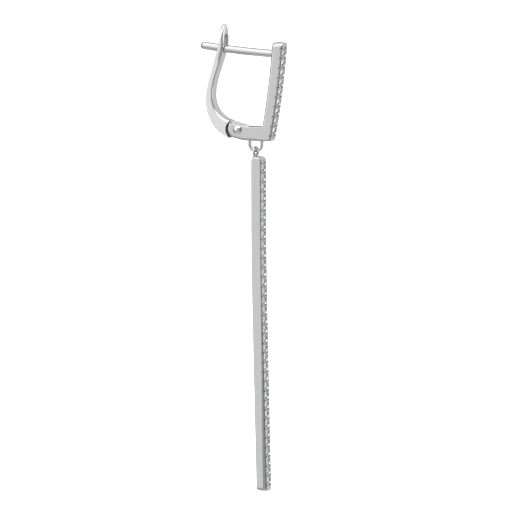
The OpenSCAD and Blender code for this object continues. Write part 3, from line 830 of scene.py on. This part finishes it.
def noise(tree, scale, detail):
    """Value of a noise on the object's own coordinates, so many swells to a metre."""
    place = tree.nodes.new("ShaderNodeTexCoord")
    node = tree.nodes.new("ShaderNodeTexNoise")
    node.inputs["Scale"].default_value = scale
    node.inputs["Detail"].default_value = detail
    tree.links.new(place.outputs["Object"], node.inputs["Vector"])
    return node.outputs["Fac"]


def polished_silver(name, tone, rough_low, rough_high, bump):
    """Metal whose roughness drifts between two values, with a faint bump of polishing marks."""
    material, shader = new_material(name, (tone, tone, tone * 1.01), 1.0, rough_low)
    tree = material.node_tree
    spread = tree.nodes.new("ShaderNodeMapRange")
    spread.inputs["To Min"].default_value = rough_low
    spread.inputs["To Max"].default_value = rough_high
    tree.links.new(noise(tree, CLOUD_SCALE, 3), spread.inputs["Value"])
    tree.links.new(spread.outputs["Result"], shader.inputs["Roughness"])
    dent = tree.nodes.new("ShaderNodeBump")
    dent.inputs["Strength"].default_value = bump
    dent.inputs["Distance"].default_value = MARK_DEEP
    tree.links.new(noise(tree, MARK_SCALE, 2), dent.inputs["Height"])
    tree.links.new(dent.outputs["Normal"], shader.inputs["Normal"])
    return material


CLOUD_SCALE, MARK_SCALE, MARK_DEEP = 900, 6000, 0.01 * MM
# One silver at several tones: the lighter copies are painted light, standing in for how the light falls on
# each part.
silver = polished_silver("polished_silver", 0.76, 0.1, 0.18, 0.12)
lighter_painted_silver = polished_silver("lighter_painted_silver", 0.97, 0.08, 0.14, 0.08)
# Painted light: a lighter copy of the same silver for the stone face, for its brighter look.
lighter_stone_face_silver = polished_silver("stone_face_painted_lighter", 0.93, 0.14, 0.24, 0.2)
# Painted shade for the hinge gap: a near-black copy of the silver.
hinge_shade, _ = new_material("painted_hinge_shade", (0.1, 0.1, 0.1), 1.0, 0.45)
# Painted shade on the walls of the post's slot: a darker copy of the silver.
shade, _ = new_material("slot_wall_painted_shade", (0.42, 0.42, 0.43), 1.0, 0.3)
print("silvers:", silver.name, lighter_painted_silver.name, lighter_stone_face_silver.name)

# %% Stones
gem, gem_shader = new_material("clear_stone", (0.97, 0.98, 1.0), 0.0, 0.02)
gem_shader.inputs["IOR"].default_value = 2.15
gem_shader.inputs["Transmission Weight"].default_value = 1.0
print("stones bend light by", round(gem_shader.inputs["IOR"].default_value, 2))

# %% [markdown]
# ### Painted light and shade on one piece
# The face that holds the stones gets a lighter copy of the silver: painted light, for the brighter look of
# the stone face. The hinge gap and the walls of the slot get darker copies: painted shade where the parts
# hide each other. All are second materials on the same mesh, given to its faces by a test on their middles
# and directions.

# %% Give some faces another finish
def face_values(obj):
    """Middles in millimetres and directions of all faces, as two arrays."""
    n = len(obj.data.polygons)
    middle, normal = np.zeros(n * 3, np.float32), np.zeros(n * 3, np.float32)
    obj.data.polygons.foreach_get("center", middle)
    obj.data.polygons.foreach_get("normal", normal)
    return middle.reshape(-1, 3) / MM, normal.reshape(-1, 3)


def refinish(obj, material, chosen):
    """Puts a second material on the chosen faces."""
    obj.data.materials.append(material)
    index = np.zeros(len(chosen), np.int32)
    obj.data.polygons.foreach_get("material_index", index)
    index[chosen] = len(obj.data.materials) - 1
    obj.data.polygons.foreach_set("material_index", index)
    print(f"{obj.name}: {int(chosen.sum())} faces in {material.name}")

# %% Dress the pieces
def dress(obj, body, node, material):
    """Gives a piece its finish and the body that it moves with, and hides the CAD node that it stands for.
    """
    obj.data.materials.clear()
    obj.data.materials.append(material)
    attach(obj, body)
    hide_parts(node)


for obj in (front_bar, arm, post, half_ring):
    dress(obj, "clasp", "front_frame", silver)
for obj in (strap, tongue):
    dress(obj, "lever", "lever", lighter_painted_silver)
for obj in (hanging_bar, loop, foot):
    dress(obj, "drop", "drop_bar", silver)
dress(rivet, "clasp", "hinge_pin", lighter_painted_silver)
dress(front_gems, "clasp", "front_stones", gem)
dress(drop_gems, "drop", "drop_stones", gem)

# %% The cut face of both bars
CUT_DEEP, CUT_HALF = 0.8, 0.72
for obj, face in ((front_bar, front_face), (hanging_bar, drop_face)):
    middle, normal = face_values(obj)
    in_front = middle[:, 0] > face(middle[:, 2]) - CUT_DEEP
    # Painted highlight: the faces round the stones take the lighter copy of the silver.
    refinish(obj, lighter_stone_face_silver, in_front & (np.abs(middle[:, 1]) < CUT_HALF))

# %% Painted shade in the hinge gap and on the walls of the slot
HINGE_UP, HINGE_DOWN = 0.5, -1.05
middle, normal = face_values(tongue)
away = np.linalg.norm(middle[:, ::2] - PIN, axis=1)
above = middle[:, 2] - PIN[1]
# Painted shade: the tongue's faces inside the hinge gap get the near-black copy.
refinish(tongue, hinge_shade, (away > CHEEK_R - 0.15) & (middle[:, 0] < PIN[0]) & (above < HINGE_UP))
# The tongue's flanks above the hinge take the bars' darker silver instead of the lever's painted lighter
# copy.
refinish(tongue, silver, (np.abs(normal[:, 1]) > 0.7) & (above >= HINGE_UP))
middle, normal = face_values(strap)
away = np.linalg.norm(middle[:, ::2] - PIN, axis=1)
above = middle[:, 2] - PIN[1]
inward = ((PIN - middle[:, ::2]) * normal[:, ::2]).sum(1) / away
in_hinge = (away < SHOULDER_R + 0.05) & (above < HINGE_UP) & (above > HINGE_DOWN)
# Painted shade: the lever's end faces that look into the hinge gap get the near-black copy.
refinish(strap, hinge_shade, in_hinge & (inward > 0.8))
in_slot = (middle[:, 2] > -1) & (middle[:, 2] < slot_high + SLOT_HALF) & (
    np.abs(middle[:, 1]) < SLOT_HALF + 0.01)
# Painted shade: the slot's side walls get the darker copy.
refinish(strap, shade, in_slot & (np.abs(normal[:, 1]) > 0.5))

# %% [markdown]
# ## Floor, light and camera
# The earring hangs against white in a soft tent of light. The floor lies well below it and runs back as
# the whole background.

# %% Floor
FLOOR_Z, FLOOR_HALF = -85, 30000.0
floor_points = np.array([[-1, -1, 0], [1, -1, 0], [1, 1, 0], [-1, 1, 0]]) * FLOOR_HALF + [0, 0, FLOOR_Z]
floor_mesh = fill_mesh("floor", floor_points, np.array([[0, 1, 2, 3]]), smooth=False)
floor = bpy.data.objects.new("floor", floor_mesh)
bpy.context.scene.collection.objects.link(floor)
pale, _ = new_material("pale_floor", (0.94, 0.94, 0.94), 0.0, 0.9)
floor_mesh.materials.append(pale)
floor.visible_glossy = False
print("floor at", FLOOR_Z, "mm")

# %% [markdown]
# Polished metal shows nothing but its surroundings. A photographer hangs white and grey cards round such
# a piece, and each card becomes one tone on the metal. Here the tent is the world: a grey all round, and
# soft round cards at chosen directions. A card is the dot product of the looking direction with the
# card's own, run through a smooth step, and it is mixed over what lies behind it. Where the camera looks
# past the floor it sees plain white and none of the cards. The floor is lit by a wide sun that the metal
# doesn't mirror.

# %% The tent
world = bpy.data.worlds.new("tent")
bpy.context.scene.world = world
world.use_nodes = True
tent = world.node_tree
looking = tent.nodes.new("ShaderNodeTexCoord").outputs["Generated"]


def card(behind, azimuth, elevation, inner, outer, tone):
    """Mixes a round card over the tone behind it: full within the inner angle, gone past the outer one."""
    az, el = np.radians(azimuth), np.radians(elevation)
    dot = tent.nodes.new("ShaderNodeVectorMath")
    dot.operation = "DOT_PRODUCT"
    dot.inputs[1].default_value = (np.sin(az) * np.cos(el), -np.cos(az) * np.cos(el), np.sin(el))
    ramp = tent.nodes.new("ShaderNodeMapRange")
    ramp.interpolation_type = "SMOOTHSTEP"
    ramp.inputs["From Min"].default_value = np.cos(np.radians(outer))
    ramp.inputs["From Max"].default_value = np.cos(np.radians(inner))
    mix = tent.nodes.new("ShaderNodeMix")
    mix.inputs["B"].default_value = tone
    tent.links.new(looking, dot.inputs[0])
    tent.links.new(dot.outputs["Value"], ramp.inputs["Value"])
    tent.links.new(ramp.outputs["Result"], mix.inputs["Factor"])
    if isinstance(behind, float):
        mix.inputs["A"].default_value = behind
    else:
        tent.links.new(behind, mix.inputs["A"])
    return mix.outputs["Result"]

# %% The cards, from the furthest back to the nearest
ALL_ROUND, BEYOND = 0.36, 0.95
CARDS = (                     # azimuth, elevation, inner angle, outer angle, tone
    (210, 10, 44, 76, 0.5),       # grey behind: draws the outlines
    (74, -5, 26, 52, 0.16),       # dark to the right of the camera
    (-112, 0, 34, 58, 0.12),      # dark at the far left
    (163, 8, 22, 37, 0.54),       # grey card that the inner faces mirror
    (137, -6, 6, 11, 1.3),        # small white card for the rail of the paddle
    (10, 64, 28, 46, 1.5),        # softbox overhead, a little in front
    (0, -90, 30, 62, 0.5),        # grey below
    (-42, 20, 20, 40, 1.15),      # white card at the left of the camera
    (-24, -9, 11, 18, 0.75))      # the card that the flat sides mirror
tone = ALL_ROUND
for each in CARDS:
    tone = card(tone, *each)
print(len(CARDS), "cards in the tent")
seen = tent.nodes.new("ShaderNodeLightPath").outputs["Is Camera Ray"]
beyond = tent.nodes.new("ShaderNodeMix")
beyond.inputs["B"].default_value = BEYOND
tent.links.new(seen, beyond.inputs["Factor"])
tent.links.new(tone, beyond.inputs["A"])
tent.links.new(beyond.outputs["Result"], tent.nodes["Background"].inputs["Color"])

# %% The sun for the floor
sun = bpy.data.lights.new("sun", "SUN")
sun.energy = 3.6
sun.angle = np.radians(80)
sun_object = bpy.data.objects.new("sun", sun)
sun_object.visible_glossy = False
bpy.context.scene.collection.objects.link(sun_object)
bpy.context.scene.view_settings.view_transform = "Standard"

# %% [markdown]
# The camera stands where the portrait was taken: a little to the right of the earring's side and slightly
# above it. A long lens from far away keeps the bars' edges parallel.

# %% Camera
SENSOR_MM = 36
AZIMUTH, ELEVATION = np.radians(24), np.radians(6.5)
FRAME_MM, AWAY_MM = 65.28, 600.0
AIM = Vector((0.981, 0.0, -26.087)) * MM
level = np.cos(ELEVATION)
back = Vector((np.sin(AZIMUTH) * level, -np.cos(AZIMUTH) * level, np.sin(ELEVATION)))
lens = bpy.data.cameras.new("portrait")
lens.sensor_width = SENSOR_MM
lens.lens = SENSOR_MM * AWAY_MM / FRAME_MM
lens.clip_start, lens.clip_end = 0.01, 200
camera = bpy.data.objects.new("camera", lens)
camera.location = AIM + back * AWAY_MM * MM
camera.rotation_euler = back.to_track_quat("Z", "Y").to_euler()
bpy.context.scene.collection.objects.link(camera)
bpy.context.scene.camera = camera
print("camera", AWAY_MM, "mm away, lens", round(lens.lens), "mm")
